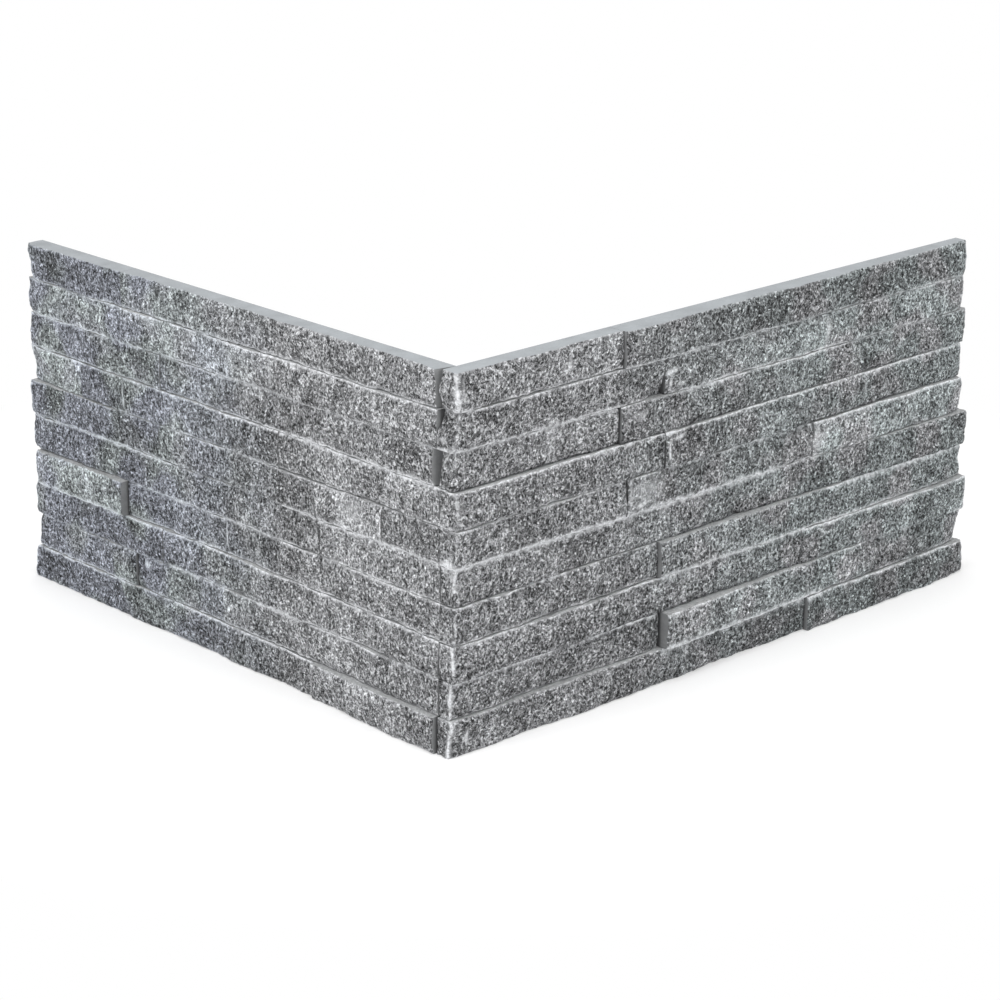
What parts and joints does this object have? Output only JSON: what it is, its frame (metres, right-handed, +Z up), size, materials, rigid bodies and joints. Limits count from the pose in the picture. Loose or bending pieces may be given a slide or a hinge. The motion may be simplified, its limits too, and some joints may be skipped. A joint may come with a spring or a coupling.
{
  "type": "stone cladding corner piece",
  "caption": "L-shaped outside-corner cladding panel of split-face stone strips glued in flush courses, flat sawn back, right arm lapping the left.",
  "frame": {"origin": "foot of the inner corner, where the flat backs of the two arms meet on the bottom bed", "axes": "+X along the right arm, +Y along the left arm, +Z up; the split faces look to -Y and -X"},
  "size_m": [0.3681, 0.333, 0.18],
  "materials": {
    "light_stone": "split face, sawn beds, lighter bed of grey quartzite",
    "mid_stone": "split face, sawn beds, common bed of grey quartzite",
    "dark_stone": "split face, sawn beds, darker bed of grey quartzite"
  },
  "bodies": {
    "root": {"left_course_01_strip_1": "light_stone", "left_course_01_strip_2": "dark_stone", "left_course_02_strip_1": "light_stone", "left_course_02_strip_2": "light_stone", "left_course_02_strip_3": "light_stone", "left_course_03_strip_1": "light_stone", "left_course_03_strip_2": "mid_stone", "left_course_03_strip_3": "mid_stone", "left_course_04_strip_1": "light_stone", "left_course_04_strip_2": "light_stone", "left_course_04_strip_3": "mid_stone", "left_course_04_strip_4": "dark_stone", "left_course_04_strip_5": "light_stone", "left_course_05_strip_1": "mid_stone", "left_course_05_strip_2": "light_stone", "left_course_05_strip_3": "mid_stone", "left_course_05_strip_4": "dark_stone", "left_course_06_strip_1": "light_stone", "left_course_06_strip_2": "mid_stone", "left_course_06_strip_3": "dark_stone", "left_course_06_strip_4": "dark_stone", "left_course_07_strip_1": "mid_stone", "left_course_07_strip_2": "dark_stone", "left_course_07_strip_3": "mid_stone", "left_course_07_strip_4": "light_stone", "left_course_08_strip_1": "light_stone", "left_course_08_strip_2": "mid_stone", "left_course_08_strip_3": "dark_stone", "left_course_09_strip_1": "mid_stone", "left_course_09_strip_2": "mid_stone", "left_course_09_strip_3": "mid_stone", "left_course_10_strip_1": "light_stone", "left_course_10_strip_2": "dark_stone", "left_course_10_strip_3": "dark_stone", "right_course_01_strip_1": "light_stone", "right_course_01_strip_2": "dark_stone", "right_course_02_strip_1": "mid_stone", "right_course_02_strip_2": "light_stone", "right_course_03_strip_1": "light_stone", "right_course_03_strip_2": "mid_stone", "right_course_04_strip_1": "mid_stone", "right_course_04_strip_2": "mid_stone", "right_course_04_strip_3": "dark_stone", "right_course_05_strip_1": "mid_stone", "right_course_05_strip_2": "mid_stone", "right_course_05_strip_3": "light_stone", "right_course_06_strip_1": "mid_stone", "right_course_06_strip_2": "dark_stone", "right_course_07_strip_1": "mid_stone", "right_course_07_strip_2": "mid_stone", "right_course_08_strip_1": "mid_stone", "right_course_08_strip_2": "mid_stone", "right_course_08_strip_3": "mid_stone", "right_course_09_strip_1": "dark_stone", "right_course_09_strip_2": "dark_stone", "right_course_09_strip_3": "light_stone", "right_course_09_strip_4": "mid_stone", "right_course_10_strip_1": "mid_stone", "right_course_10_strip_2": "dark_stone", "right_course_10_strip_3": "dark_stone"}
  },
  "joints": []
}
